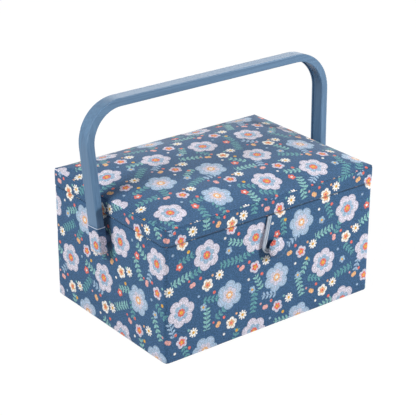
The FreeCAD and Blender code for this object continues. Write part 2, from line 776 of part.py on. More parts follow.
def foot(label, sign):
    """Cloth foot wrapped over a leg's end, closed below and outside, open above."""
    wrap = new_body(label + "_body")

    def leg_edge(side, extra, level):
        """How far out the leg's inner or outer edge lies at a level, with something added."""
        return "%s(leg_middle + (%s) * splay_slope %s (leg_half + %s))" % (sign, level, side, extra)

    def upright(bottom, top, extra):
        return [(leg_edge("-", extra, bottom), bottom), (leg_edge("+", extra, bottom), bottom),
                (leg_edge("+", extra, top), top), (leg_edge("-", extra, top), top)]

    outside = sketch_on(wrap, "XZ_Plane")
    outline(outside, upright("-foot_bottom", "foot_top", "foot_fit + foot_wall"))
    pad(wrap, outside, "grip_depth + 2 * (foot_fit + foot_wall)", midplane=True)
    inside = sketch_on(wrap, "XZ_Plane")
    outline(inside, upright("-leg_tail - grip_half * splay_slope - foot_fit", "2 * foot_top", "foot_fit"))
    pocket(wrap, inside, "grip_depth + 2 * foot_fit", midplane=True)
    bore(wrap, "YZ_Plane", ("0", "0"), "bore_radius + hole_play", "leg_middle",
         reverse=sign == "")
    stand_up(wrap)
    keep(label, wrap)


def pivots():
    """A rivet through each side, its washer inside and the spacer that holds the leg off the cloth."""
    shank = "rivet_diameter / 2"
    washer_face = "board_inside - washer_thickness"
    tail = washer_face + " - rivet_tail_height"
    head = "seat_reach + rivet_play"
    rivet = new_body("rivet_body")
    sketch = sketch_on(rivet, "XY_Plane")
    outline(sketch, [
        (tail, "0"), (head + " + rivet_head_height", "0"), (head + " + rivet_head_height", "rivet_head / 2"),
        (head, "rivet_head / 2"), (head, shank), (washer_face, shank), (washer_face, "rivet_tail / 2"),
        (tail, "rivet_tail / 2")])
    revolve(rivet, sketch, "H_Axis")
    place(rivet, ("0", "0", "pivot_height"))
    pair("handle_rivets", rivet)
    rings = (("rivet_washers", "washer_diameter / 2", washer_face, "board_inside"),
             ("pivot_spacers", "spacer_diameter / 2", "box_width / 2", "spacer_end"))
    for label, outer, low, high in rings:
        body = new_body(label + "_body")
        sketch = sketch_on(body, "XY_Plane")
        inner = shank + " + hole_play"
        rectangle(sketch, low, high, inner, outer)
        revolve(body, sketch, "H_Axis")
        place(body, ("0", "0", "pivot_height"))
        pair(label, body)


# Tray

def tray():
    """Moulded tray: a lip that rests on the lining, a long front cell and a row of cells behind."""
    tub = new_body("tray_body")
    lip = sketch_on(tub, "XY_Plane", ("0", "0", "ledge"))
    rounded_rectangle(lip, "room_width - 2 * tray_gap", "room_depth - 2 * tray_gap", "tray_corner")
    pad(tub, lip, "tray_lip")
    shell = sketch_on(tub, "XY_Plane", ("0", "0", "ledge"))
    rounded_rectangle(shell, "tub_width", "tub_depth", "tray_corner")
    pad(tub, shell, "tray_height - tray_lip", reverse=True)
    mouth = ("0", "0", "tray_top")
    front = "tray_wall - tub_depth / 2"
    long_cell = sketch_on(tub, "XY_Plane", mouth)
    rectangle(long_cell, "-cell_width / 2", "cell_width / 2", front, front + " + front_row")
    pocket(tub, long_cell, "cell_depth")
    back = front + " + front_row + tray_wall"
    room = "(cell_width - %d * tray_wall)" % (len(BACK_CELL_SHARES) - 1)
    done_share = 0.0
    for index, share in enumerate(BACK_CELL_SHARES):
        low = "%s * %s + %d * tray_wall - cell_width / 2" % (round(done_share, 3), room, index)
        high = "%s + %s * %s" % (low, share, room)
        small_cell = sketch_on(tub, "XY_Plane", mouth)
        rectangle(small_cell, low, high, back, back + " + back_row")
        pocket(tub, small_cell, "cell_depth")
        done_share += share
    keep("tray", tub)


def check_and_write():
    """Every object built, every node one or more sound solids; then one file for each node."""
    doc.recompute()
    for item in doc.Objects:
        if "Invalid" in item.State or "Error" in item.State:
            raise ValueError("%s failed: %s" % (item.Label, item.State))
    os.makedirs("parts", exist_ok=True)
    for label, item in parts.items():
        shape = item.Shape
        if shape.isNull() or not shape.isValid() or not shape.Solids:
            raise ValueError(label + " has no sound solid")
    for label, item in parts.items():
        item.Shape.exportStep("parts/%s.step" % label)
    print("%d nodes written" % len(parts))


fill_sheet()
base()
walls()
outer_cover()
linings()
button()
closure_loop()
lid_boards()
lid_padding()
lid_cover()
lid_inside()
hinge()
handle()
foot("handle_foot_left", "-")
foot("handle_foot_right", "")
pivots()
tray()
check_and_write()
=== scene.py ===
import bpy
import math
from mathutils import Matrix, Vector, noise


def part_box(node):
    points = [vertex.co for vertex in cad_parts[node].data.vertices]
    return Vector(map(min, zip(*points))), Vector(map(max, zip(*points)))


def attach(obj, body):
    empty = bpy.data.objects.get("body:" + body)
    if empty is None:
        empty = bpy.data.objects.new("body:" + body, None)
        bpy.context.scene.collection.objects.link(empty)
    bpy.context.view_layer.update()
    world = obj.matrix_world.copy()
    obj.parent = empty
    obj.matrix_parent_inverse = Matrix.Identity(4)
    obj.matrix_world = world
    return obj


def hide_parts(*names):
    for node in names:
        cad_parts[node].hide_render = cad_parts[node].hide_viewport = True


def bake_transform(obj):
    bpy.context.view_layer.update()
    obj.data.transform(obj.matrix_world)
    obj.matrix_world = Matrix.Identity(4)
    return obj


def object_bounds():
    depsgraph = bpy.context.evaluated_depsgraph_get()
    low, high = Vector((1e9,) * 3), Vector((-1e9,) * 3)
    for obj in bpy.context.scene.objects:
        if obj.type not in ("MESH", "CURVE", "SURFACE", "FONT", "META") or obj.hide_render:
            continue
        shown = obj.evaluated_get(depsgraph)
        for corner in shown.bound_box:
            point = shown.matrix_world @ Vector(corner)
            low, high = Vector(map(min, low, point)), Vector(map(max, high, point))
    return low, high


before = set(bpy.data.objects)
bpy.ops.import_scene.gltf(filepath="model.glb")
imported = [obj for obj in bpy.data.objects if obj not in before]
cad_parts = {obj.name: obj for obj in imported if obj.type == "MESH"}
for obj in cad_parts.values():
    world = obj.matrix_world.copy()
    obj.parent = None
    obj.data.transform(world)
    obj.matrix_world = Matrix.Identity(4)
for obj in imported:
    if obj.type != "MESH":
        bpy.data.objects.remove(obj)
cad_low, cad_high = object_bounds()
MM = 0.001
SCENE = bpy.context.scene

# Camera of the photograph, in metres and degrees
CAMERA_PLACE = (-0.7969, -1.0148, 0.6632)
CAMERA_AZIMUTH = -37.89
CAMERA_ELEVATION = 23.89
CAMERA_ROLL = 0.28
CAMERA_LENS = 122.77

# Lamps: name, place in metres, watts and width in metres
LAMPS = (
    ("left", (-1.75, 0.1, 1.4), 33.0, 0.9),
    ("right", (1.25, -1.45, 0.8), 32.0, 0.35),
    ("top", (0.1, 0.3, 2.2), 3.0, 1.0),
    ("back", (1.5, 1.9, 0.95), 12.0, 1.6),
)
LAMP_TARGET = Vector((0, 0, 0.1))
FLOOR_HALF = 4.0
FLOOR_GLOW = 1.05
FLOOR_GLOW_SHARE = 0.93
ROOM_LIGHT = 0.15

# Box and lid; the seam drop opens a thin dark slot between them
BODY_LOW, BODY_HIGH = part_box("outer_cover")
LID_LOW, LID_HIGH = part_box("lid_cover")
CROWN = 9.8 * MM
FOLD = LID_HIGH.z - CROWN
CLOTH = 0.8 * MM
WALL = 4.1 * MM
TURN_IN = 15.0 * MM
LID_TURN_IN_TOP = 131.9 * MM
SEAM_DROP = 0.6 * MM
BODY_CORNER = 4.4 * MM
LID_CORNER = 4.5 * MM

# The closure loop's route, in metres
LOOP_ROUTE = (
    (-0.00775, -0.09365, 0.1184),
    (-0.011, -0.0944, 0.1057),
    (-0.0132, -0.0948, 0.0972),
    (-0.0148, -0.0951, 0.0914),
    (-0.01505, -0.0952, 0.0862),
    (-0.0112, -0.0953, 0.0821),
    (-0.00575, -0.0953, 0.082),
    (-0.0005, -0.0953, 0.0812),
    (0.003, -0.0953, 0.0827),
    (0.0044, -0.0953, 0.08625),
    (0.00285, -0.0953, 0.08975),
    (-0.00065, -0.0953, 0.09095),
    (-0.0038, -0.0953, 0.08935),
    (-0.00505, -0.0953, 0.0857),
    (-0.0083, -0.0953, 0.0842),
    (-0.0116, -0.0952, 0.0855),
    (-0.01305, -0.0951, 0.0888),
    (-0.012, -0.095, 0.0926),
    (-0.0108, -0.0948, 0.097),
    (-0.0086, -0.0944, 0.1057),
    (-0.0054, -0.09365, 0.1184),
)
CORD = 2.0 * MM

# Handle: its pivot, lean and splay, and half the thickness of its bar
PIVOT_HEIGHT = 96.5 * MM
HANDLE_LEAN = math.radians(4.3)
HANDLE_SPLAY = math.radians(3.0)
LEG_MIDDLE = 137.82 * MM
BAR_HALF = 4.7 * MM

# Cloth foot on a leg's end; its profile, from the bottom to the hem, is how far the cloth stands out and its
# level above the pivot, in millimetres
FOOT_HALF = 4.7 * MM
FOOT_DEEP = 8.5 * MM
FOOT_CORNER = 1.6 * MM
FOOT_BOTTOM_MM = ((-4.2, -13.3), (-1.6, -13.3), (-0.5, -13.1), (-0.05, -12.4))
FOOT_SIDE_MM = (-12.0, 11.4)
FOOT_HEM_MM = ((0.22, 11.9), (0.3, 12.7), (0.12, 13.4), (-0.4, 13.7), (-0.9, 13.4), (-0.95, 10.0))
FOOT_EDGING_LEVEL = 13.62 * MM
FOOT_STITCH_LEVEL = -11.2 * MM

# Colours of the cloth and its print
NAVY = "#476C93"
NAVY_DEEP = "#3D6187"
LILAC = "#DAD6E6"
LILAC_LIGHT = "#E4DFEC"
PALE_BLUE = "#A6C2DC"
PALE_BLUE_LIGHT = "#B7CCE3"
CORAL = "#F27C6D"
PEACH = "#F6C08C"
WHITE = "#FBF8F3"
MINT = "#93C7C4"
TEAL = "#6AA6AC"
YELLOW = "#F3BD4F"
ROSE = "#F3B6B0"

# The print repeats at this size in millimetres, and every other row is moved by half of it
REPEAT_MM = (58.0, 50.0)

# Where the print starts on the pieces cut from other parts of the cloth
FOOT_PRINT = Vector((-12.0, -13.0)) * MM
BUTTON_PRINT = Vector((9.0, -8.0)) * MM
PAD_PRINT = Vector((310.0, 220.0)) * MM
HINGE_PRINT = Vector((420.0, 13.0)) * MM


# Helpers for colours and nodes

def tint(code):
    """Linear colour of an sRGB hex code."""
    channels = [int(code[i:i + 2], 16) / 255 for i in (1, 3, 5)]
    return [c / 12.92 if c <= 0.04045 else ((c + 0.055) / 1.055) ** 2.4 for c in channels] + [1.0]


def add(tree, kind, links=(), values=(), **settings):
    """One node with its settings, its fixed values and its incoming links, by socket."""
    node = tree.nodes.new(kind)
    for key, value in settings.items():
        setattr(node, key, value)
    for key, value in dict(values).items():
        node.inputs[key].default_value = value
    for key, source in dict(links).items():
        tree.links.new(source, node.inputs[key])
    return node


def maths(tree, operation, *terms, kind="ShaderNodeMath"):
    """Result of a maths node whose terms, in their order, are sockets or fixed values."""
    node = add(tree, kind, operation=operation)
    for socket, term in zip(node.inputs, terms):
        if isinstance(term, bpy.types.NodeSocket):
            tree.links.new(term, socket)
        else:
            socket.default_value = term
    return node.outputs[0]


def vectors(tree, operation, *terms):
    """The same for a maths node on vectors."""
    return maths(tree, operation, *terms, kind="ShaderNodeVectorMath")


def scaled(tree, vector, factor):
    """A vector or colour times a factor."""
    return add(tree, "ShaderNodeVectorMath", {0: vector, "Scale": factor}, operation="SCALE").outputs[0]


def mapped(tree, value, low=0.0, high=1.0, to_low=0.0, to_high=1.0):
    """A value moved from one range to another and kept inside it."""
    ranges = {"From Min": low, "From Max": high, "To Min": to_low, "To Max": to_high}
    return add(tree, "ShaderNodeMapRange", {"Value": value}, ranges).outputs[0]


def mixed(tree, share, first, second):
    """Colour between two, each a socket or a hex code."""
    node = add(tree, "ShaderNodeMix", {0: share}, data_type="RGBA")
    for key, colour in ((6, first), (7, second)):
        if isinstance(colour, str):
            node.inputs[key].default_value = tint(colour)
        else:
            tree.links.new(colour, node.inputs[key])
    return node.outputs[2]


def noise_node(tree, place, scale, detail, distortion=0.0):
    """Value of a noise texture."""
    values = {"Scale": scale, "Detail": detail, "Distortion": distortion}
    return add(tree, "ShaderNodeTexNoise", {"Vector": place}, values).outputs[0]


def finish_shader(tree, shader, colour, height, strength, distance):
    """Give a shader its colour and a bump from a height."""
    bump = add(tree, "ShaderNodeBump", {"Height": height}, {"Strength": strength, "Distance": distance})
    tree.links.new(colour, shader.inputs["Base Color"])
    tree.links.new(bump.outputs[0], shader.inputs["Normal"])


def new_group(name, kind, given, gives):
    """An empty node group with named sockets, and the sockets of what it is given."""
    group = bpy.data.node_groups.new(name, kind)
    for way, sockets in (("INPUT", given), ("OUTPUT", gives)):
        for socket, socket_kind in sockets:
            group.interface.new_socket(socket, in_out=way, socket_type="NodeSocket" + socket_kind)
    return group, add(group, "NodeGroupInput").outputs


def new_material(name, colour, roughness, **values):
    """A material with its shader's constant values set; gives it, its tree and its shader."""
    material = bpy.data.materials.new(name)
    material.use_nodes = True
    shader = material.node_tree.nodes["Principled BSDF"]
    shader.inputs["Base Color"].default_value = tint(colour)
    shader.inputs["Roughness"].default_value = roughness
    for key, value in values.items():
        shader.inputs[key.replace("_", " ")].default_value = value
    return material, material.node_tree, shader


# Helpers for meshes

def show(piece):
    """Put an object in the scene."""
    SCENE.collection.objects.link(piece)
    return piece


def mesh_piece(name, points, faces, material, uvs=None):
    """A smooth mesh object at the origin; uvs holds one pair for each face corner, in metres of cloth."""
    mesh = bpy.data.meshes.new(name)
    mesh.from_pydata([tuple(p) for p in points], [], faces)
    if uvs:
        layer = mesh.uv_layers.new(name="cloth")
        layer.data.foreach_set("uv", [value for pair in uvs for value in pair])
    mesh.materials.append(material)
    mesh.shade_smooth()
    return show(bpy.data.objects.new(name, mesh))


def plain_mesh(piece):
    """Turn a piece with modifiers, or a curve, into a plain mesh object of the same name."""
    mesh = bpy.data.meshes.new_from_object(piece.evaluated_get(bpy.context.evaluated_depsgraph_get()))
    name = piece.name
    bpy.data.objects.remove(piece)
    mesh.name = name
    return show(bpy.data.objects.new(name, mesh))


def ripple(piece, height, size):
    """Move a cloth face a little along its normals, so that it isn't perfectly flat."""
    mesh = piece.data
    moved = [v.co + v.normal * height * noise.noise(v.co / size) for v in mesh.vertices]
    for vertex, place in zip(mesh.vertices, moved):
        vertex.co = place
    mesh.update()


def quarter(count):
    """Angles of a quarter turn in equal steps, without its start."""
    return [math.pi / 2 * step / count for step in range(1, count + 1)]


def spread(step, count, half, even):
    """Places along a side, closer together near its ends the less even they are."""
    t = 2 * step / count - 1
    return half * (even * t + (1 - even) * math.sin(math.pi / 2 * t))


def grid_faces(columns, rows, first=0, flipped=False):
    """Faces of a grid whose points are laid row by row from a first index."""
    wide = columns + 1
    faces = []
    for j in range(rows):
        for i in range(columns):
            a = first + j * wide + i
            b, c = (a + wide, a + 1) if flipped else (a + 1, a + wide)
            faces.append((a, b, a + wide + 1, c))
    return faces


def grid_border(columns, rows):
    """Indices of the points round such a grid, along its first row first."""
    wide = columns + 1
    border = list(range(columns))
    border += [j * wide + columns for j in range(rows)]
    border += [rows * wide + i for i in range(columns, 0, -1)]
    border += [j * wide for j in range(rows, 0, -1)]
    return border


def ring(half_x, half_y, radius, middle=0.0, runs=(44, 32), turns=6):
    """Points round a rectangle with round corners, anticlockwise from the back left corner."""
    corners = ((-1, 1, runs[1]), (-1, -1, runs[0]), (1, -1, runs[1]), (1, 1, runs[0]))

    def spot(side_x, side_y, angle):
        return Vector((side_x * (half_x - radius) + radius * math.cos(angle),
                       middle + side_y * (half_y - radius) + radius * math.sin(angle)))

    spots = []
    for number, (side_x, side_y, run) in enumerate(corners):
        for step in range(turns + 1):
            spots.append(spot(side_x, side_y, math.pi / 2 * (1 + number + step / turns)))
        next_x, next_y, _ = corners[(number + 1) % 4]
        start = spots[-1]
        end = spot(next_x, next_y, math.pi / 2 * (2 + number))
        spots += [start.lerp(end, step / run) for step in range(1, run)]
    return spots


def ring_rows(profile, half_x, half_y, corner, least, middle=0.0):
    """Closed rows of points round a box with round corners, for a profile of insets and levels."""
    rows = []
    for inset, level in profile:
        spots = ring(half_x - inset, half_y - inset, max(corner - inset, least), middle)
        rows.append([Vector((p.x, p.y, level)) for p in spots])
    return rows


def sleeve(name, rows, material, caps=False):
    """Cloth through closed rows of points, each row with as many points; the cloth's U runs along the
    widest row and V across the rows. Caps close the first and the last row."""
    count = len(rows[0])
    points = [point for row in rows for point in row]
    widest = max(rows, key=lambda row: sum((a - b).length for a, b in zip(row, row[1:])))
    across = [0.0]
    for a, b in zip(widest, widest[1:] + widest[:1]):
        across.append(across[-1] + (b - a).length)
    along = [0.0]
    for low, high in zip(rows, rows[1:]):
        along.append(along[-1] + (high[0] - low[0]).length)
    faces = []
    uvs = []
    for r in range(len(rows) - 1):
        for c in range(count):
            d = (c + 1) % count
            faces.append((r * count + c, r * count + d, (r + 1) * count + d, (r + 1) * count + c))
            uvs += [(across[c], along[r]), (across[c + 1], along[r]),
                    (across[c + 1], along[r + 1]), (across[c], along[r + 1])]
    if caps:
        last = len(points) - count
        for face in (tuple(range(count - 1, -1, -1)), tuple(range(last, last + count))):
            faces.append(face)
            uvs += [(points[corner].x, points[corner].y) for corner in face]
    return mesh_piece(name, points, faces, material, uvs)


def dress(material, *nodes):
    """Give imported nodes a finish."""
    for node in nodes:
        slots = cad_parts[node].data.materials
        slots.clear()
        slots.append(material)


# Materials

def print_cell():
    """Where a point lies in a motif's own cell of the repeat, moved and turned at random."""
    given = (("Point", "Vector"), ("Place", "Vector"), ("Stray", "Float"), ("Seed", "Float"))
    gives = (("Local", "Vector"), ("Pick", "Float"))
    group, inputs = new_group("print_cell", "ShaderNodeTree", given, gives)
    wide, high = REPEAT_MM
    moved = vectors(group, "SUBTRACT", inputs["Point"], inputs["Place"])
    share = vectors(group, "DIVIDE", moved, (wide, high, 1))
    split = add(group, "ShaderNodeSeparateXYZ", {0: share}).outputs
    odd = maths(group, "FLOORED_MODULO", maths(group, "FLOOR", split["Y"]), 2.0)
    step = maths(group, "MULTIPLY_ADD", odd, 0.5, split["X"])
    spot = add(group, "ShaderNodeCombineXYZ", {0: step, 1: split["Y"], 2: inputs["Seed"]}).outputs[0]
    cell = vectors(group, "FLOOR", spot)
    inside = vectors(group, "FRACTION", spot)
    local = vectors(group, "MULTIPLY_ADD", inside, (wide, high, 0), (-wide / 2, -high / 2, 0))
    chance = add(group, "ShaderNodeTexWhiteNoise", {"Vector": cell}, noise_dimensions="3D").outputs
    sway = vectors(group, "MULTIPLY_ADD", chance["Color"], (2, 2, 0), (-1, -1, 0))
    strayed = vectors(group, "ADD", local, scaled(group, sway, inputs["Stray"]))
    angle = maths(group, "MULTIPLY", chance["Value"], 2 * math.pi)
    turned = add(group, "ShaderNodeVectorRotate", {"Vector": strayed, "Angle": angle}, rotation_type="Z_AXIS")
    pick = maths(group, "ROUND", chance["Value"])
    add(group, "NodeGroupOutput", {"Local": turned.outputs[0], "Pick": pick})
    return group


def flower_mask():
    """1 inside a flower, whose edge dips between its petals, and 0 outside."""
    given = (("Local", "Vector"), ("Petals", "Float"), ("Radius", "Float"), ("Notch", "Float"))
    group, inputs = new_group("flower_mask", "ShaderNodeTree", given, (("Mask", "Float"),))
    roundness = 0.6
    edge = 0.22
    split = add(group, "ShaderNodeSeparateXYZ", {0: inputs["Local"]}).outputs
    angle = maths(group, "ARCTAN2", split["Y"], split["X"])
    wave = maths(group, "MULTIPLY", angle, maths(group, "MULTIPLY", inputs["Petals"], 0.5))
    lobe = maths(group, "ABSOLUTE", maths(group, "COSINE", wave))
    dip = maths(group, "SUBTRACT", 1.0, maths(group, "POWER", lobe, roundness))
    share = maths(group, "SUBTRACT", 1.0, maths(group, "MULTIPLY", dip, inputs["Notch"]))
    rim = maths(group, "MULTIPLY", share, inputs["Radius"])
    away = add(group, "ShaderNodeVectorMath", {0: inputs["Local"]}, operation="LENGTH").outputs["Value"]
    depth = maths(group, "SUBTRACT", rim, away)
    add(group, "NodeGroupOutput", {"Mask": mapped(group, depth, -edge, edge)})
    return group


def sprig_mask():
    """1 on a stem with pairs of slanting leaves, and 0 outside."""
    given = (("Local", "Vector"), ("Reach", "Float"), ("Leaf", "Float"), ("Width", "Float"))
    group, inputs = new_group("sprig_mask", "ShaderNodeTree", given, (("Mask", "Float"),))
    slant = math.radians(42)
    pair_gap = 4.6
    stem_half = 0.35
    edge = 0.2
    split = add(group, "ShaderNodeSeparateXYZ", {0: inputs["Local"]}).outputs
    side = maths(group, "ABSOLUTE", split["X"])
    level = maths(group, "WRAP", split["Y"], 0.72 * pair_gap, -0.28 * pair_gap)
    rise = maths(group, "MULTIPLY", level, math.sin(slant))
    out = maths(group, "MULTIPLY_ADD", side, math.cos(slant), rise)
    back = maths(group, "MULTIPLY", side, -math.sin(slant))
    off = maths(group, "MULTIPLY_ADD", level, math.cos(slant), back)
    along = maths(group, "DIVIDE", out, inputs["Leaf"])
    lens = maths(group, "MULTIPLY", along, maths(group, "SUBTRACT", 1.0, along))
    half = maths(group, "MULTIPLY", lens, inputs["Width"])
    leaf = maths(group, "SUBTRACT", half, maths(group, "ABSOLUTE", off))
    stem = maths(group, "SUBTRACT", stem_half, side)
    end = maths(group, "SUBTRACT", inputs["Reach"], maths(group, "ABSOLUTE", split["Y"]))
    inside = maths(group, "MINIMUM", maths(group, "MAXIMUM", leaf, stem), end)
    add(group, "NodeGroupOutput", {"Mask": mapped(group, inside, -edge, edge)})
    return group


# Motifs of the print, from the lowest to the topmost: place in the repeat and stray, then layers of a shape,
# its sizes and two colours, of which each motif takes one. All lengths are in millimetres.
MOTIFS = (
    ((0, 33), 1.2, (("sprig", (11.5, 6.4, 5.2), MINT, TEAL),)),
    ((19, 35), 1.0, (("sprig", (9.2, 5.6, 4.6), TEAL, PALE_BLUE),)),
    ((35, 3), 1.0, (("sprig", (9.2, 5.2, 4.4), TEAL, MINT),)),
    ((14.5, 23), 1.0, (("flower", (2, 3.4, 0.55), PEACH, ROSE),)),
    ((-20, 9.5), 1.2, (("flower", (1, 1.7, 0.0), CORAL, YELLOW),)),
    ((21, 9), 1.2, (("flower", (1, 1.4, 0.0), WHITE, PALE_BLUE),)),
    ((9, 27.5), 1.0, (("flower", (1, 1.2, 0.0), CORAL, ROSE),)),
    ((-7, -22), 1.0, (("flower", (1, 1.6, 0.0), CORAL, CORAL),)),
    ((37.5, 27), 1.0, (("flower", (1, 1.3, 0.0), MINT, PEACH),)),
    ((27, -4), 1.0, (("flower", (5, 4.0, 0.42), CORAL, PALE_BLUE),
                     ("flower", (1, 1.3, 0.0), WHITE, YELLOW))),
    ((-14, 24), 1.0, (("flower", (9, 5.2, 0.62), WHITE, WHITE),
                      ("flower", (1, 1.5, 0.0), YELLOW, YELLOW))),
    ((30, 19), 1.0, (("flower", (5, 6.6, 0.34), WHITE, LILAC),
                     ("flower", (5, 3.8, 0.4), PEACH, CORAL),
                     ("flower", (1, 1.5, 0.0), CORAL, YELLOW))),
    ((0, 0), 1.2, (("flower", (6, 15.2, 0.26), LILAC, PALE_BLUE),
                   ("flower", (6, 13.6, 0.32), LILAC_LIGHT, PALE_BLUE_LIGHT),
                   ("flower", (6, 8.6, 0.36), PALE_BLUE, LILAC),
                   ("flower", (8, 4.3, 0.22), CORAL, PEACH),
                   ("flower", (1, 1.9, 0.0), YELLOW, WHITE))),
)


def printed_cotton():
    """Plain-weave cotton with a scattered flower print: matt, a little fuzzy, with slightly uneven dye, and
    painted shade and light on its threads.
    """
    material, tree, shader = new_material("printed_cotton", NAVY, 0.88, Specular_IOR_Level=0.2,
                                          Sheen_Weight=0.18, Sheen_Roughness=0.45)
    cloth = add(tree, "ShaderNodeUVMap", uv_map="cloth").outputs[0]
    point = vectors(tree, "MULTIPLY", cloth, (1000, 1000, 0))
    colour = mixed(tree, noise_node(tree, point, 0.09, 3.0), NAVY_DEEP, NAVY)
    cell_tree = print_cell()
    shapes = {"flower": (flower_mask(), ("Petals", "Radius", "Notch")),
              "sprig": (sprig_mask(), ("Reach", "Leaf", "Width"))}
    for seed, (place, stray, layers) in enumerate(MOTIFS):
        corner = (place[0] - REPEAT_MM[0] / 2, place[1] - REPEAT_MM[1] / 2, 0)
        cell = add(tree, "ShaderNodeGroup", {"Point": point}, {"Place": corner, "Stray": stray, "Seed": seed},
                   node_tree=cell_tree).outputs
        for shape, sizes, first, second in layers:
            mask_tree, names = shapes[shape]
            mask = add(tree, "ShaderNodeGroup", {"Local": cell["Local"]}, zip(names, sizes),
                       node_tree=mask_tree).outputs[0]
            colour = mixed(tree, mask, colour, mixed(tree, cell["Pick"], first, second))
    # Threads about 0.45 mm apart are too fine to show here, so the weave is drawn at 1.1 mm
    threads = {"Scale": 0.285, "Distortion": 1.2, "Detail": 1.0, "Detail Scale": 2.0}
    warp, weft = (add(tree, "ShaderNodeTexWave", {"Vector": point}, threads, bands_direction=way).outputs["Fac"]
                  for way in "XY")
    weave = maths(tree, "MULTIPLY", warp, weft)
    fibre = maths(tree, "ADD", weave, noise_node(tree, point, 0.68, 1.0))
    # The weave's and the slubs' relief also scales the colour: partly the yarn's real unevenness, partly
    # painted shade in the hollows between threads and painted light on their tops
    light = mapped(tree, fibre, 0.48, 1.0, 0.44, 1.6)
    finish_shader(tree, shader, scaled(tree, colour, light), fibre, 0.35, 0.12 * MM)
    return material


def moulded_polypropylene():
    """Injection-moulded polypropylene: an even satin blue with faint flow lines and a fine spark texture."""
    material, tree, shader = new_material("moulded_polypropylene", "#5D81A4", 0.4, IOR=1.49)
    coords = add(tree, "ShaderNodeTexCoord").outputs["Object"]
    place = add(tree, "ShaderNodeSeparateXYZ", {0: coords}).outputs
    # Flow lines run along the legs and the bar: across one is the place from a leg's or the bar's middle
    slope = math.tan(HANDLE_SPLAY)
    beside = maths(tree, "MULTIPLY_ADD", place["Z"], -slope, maths(tree, "ABSOLUTE", place["X"]))
    from_leg = maths(tree, "ADD", beside, PIVOT_HEIGHT * slope - LEG_MIDDLE)
    from_bar = maths(tree, "ADD", place["Z"], BAR_HALF - cad_high.z)
    across = maths(tree, "MAXIMUM", from_leg, from_bar)
    along = maths(tree, "ADD", place["X"], place["Z"])
    lines = add(tree, "ShaderNodeCombineXYZ", {0: place["Y"], 1: across, 2: along}).outputs[0]
    line_space = add(tree, "ShaderNodeMapping", {"Vector": lines}, {"Scale": (520, 520, 9)}).outputs[0]
    flow = noise_node(tree, line_space, 1.0, 3.0)
    colour = mixed(tree, mapped(tree, flow, 0.28, 0.72), "#4F7192", "#6488AA")
    tree.links.new(mapped(tree, flow, to_low=0.36, to_high=0.48), shader.inputs["Roughness"])
    finish_shader(tree, shader, colour, noise_node(tree, coords, 2200.0, 1.0), 0.08, 0.1 * MM)
    return material


def polyester_satin(name, colour, shade):
    """Polyester satin: a smooth, silky face with a soft sheen and small soft creases, with painted shade in
    their hollows.
    """
    material, tree, shader = new_material(name, colour, 0.45, Sheen_Weight=0.35, Sheen_Roughness=0.3,
                                          Specular_IOR_Level=0.4)
    coords = add(tree, "ShaderNodeTexCoord").outputs["Object"]
    crease = noise_node(tree, coords, 38.0, 3.0, 0.8)
    # Floats of the weave about 0.2 mm wide are drawn at 0.8 mm so that they show
    float_space = add(tree, "ShaderNodeMapping", {"Vector": coords}, {"Scale": (1250, 1250, 160)}).outputs[0]
    floats = noise_node(tree, float_space, 1.0, 1.0)
    height = maths(tree, "MULTIPLY_ADD", crease, 6.0, floats)
    # The low parts of the creases take the darker colour: painted shade
    finish_shader(tree, shader, mixed(tree, crease, shade, colour), height, 0.35, 0.25 * MM)
    return material


def braided_elastic(name, colour, shade):
    """Braided polyester over rubber: fine slanting plaits with a dull sheen, and painted shade on the lower
    plaits.
    """
    material, tree, shader = new_material(name, colour, 0.7, Sheen_Weight=0.3, Specular_IOR_Level=0.3)
    cloth = add(tree, "ShaderNodeUVMap", uv_map="cloth").outputs[0]
    plait_space = add(tree, "ShaderNodeMapping", {"Vector": cloth},
                      {"Rotation": (0, 0, math.radians(45)), "Scale": (1000, 1000, 1000)}).outputs[0]
    # The checker's darker colour falls on the lower plaits of the bump: painted shade
    plait = add(tree, "ShaderNodeTexChecker", {"Vector": plait_space},
                {"Scale": 1.6, "Color1": tint(colour), "Color2": tint(shade)}).outputs
    finish_shader(tree, shader, plait["Color"], plait["Fac"], 0.4, 0.1 * MM)
    return material


def speckled(name, colour, shade, roughness, grain_mm, lift, **values):
    """A surface with a fine grain of two near colours, such as card, coarse cloth or moulded plastic."""
    material, tree, shader = new_material(name, colour, roughness, **values)
    coords = add(tree, "ShaderNodeTexCoord").outputs["Object"]
    grain = noise_node(tree, coords, 1000 / grain_mm, 3.0)
    finish_shader(tree, shader, mixed(tree, grain, shade, colour), grain, lift, 0.15 * MM)
    return material


# Soft pieces

def settle(piece, held, pressure, cap):
    """Swell a padded piece with a short cloth simulation; held points stay, and none moves past the cap."""
    steps = 20
    stiffness = 12
    mesh = piece.data
    rest = [v.co.copy() for v in mesh.vertices]
    group = piece.vertex_groups.new(name="held")
    group.add(held, 1.0, "REPLACE")
    modifier = piece.modifiers.new("swell", "CLOTH")
    settings = modifier.settings
    settings.vertex_group_mass = "held"
    settings.use_pressure = True
    settings.uniform_pressure_force = pressure
    settings.quality = 4
    settings.tension_stiffness = stiffness
    settings.compression_stiffness = stiffness
    settings.effector_weights.gravity = 0
    for number in range(1, steps + 1):
        SCENE.frame_set(number)
    swollen = piece.evaluated_get(bpy.context.evaluated_depsgraph_get()).data
    places = [v.co.copy() for v in swollen.vertices]
    piece.modifiers.remove(modifier)
    piece.vertex_groups.remove(group)
    for vertex, start, place in zip(mesh.vertices, rest, places):
        move = place - start
        vertex.co = start + move * min(1.0, cap / max(move.length, 1e-9))
    mesh.update()
    SCENE.frame_set(1)


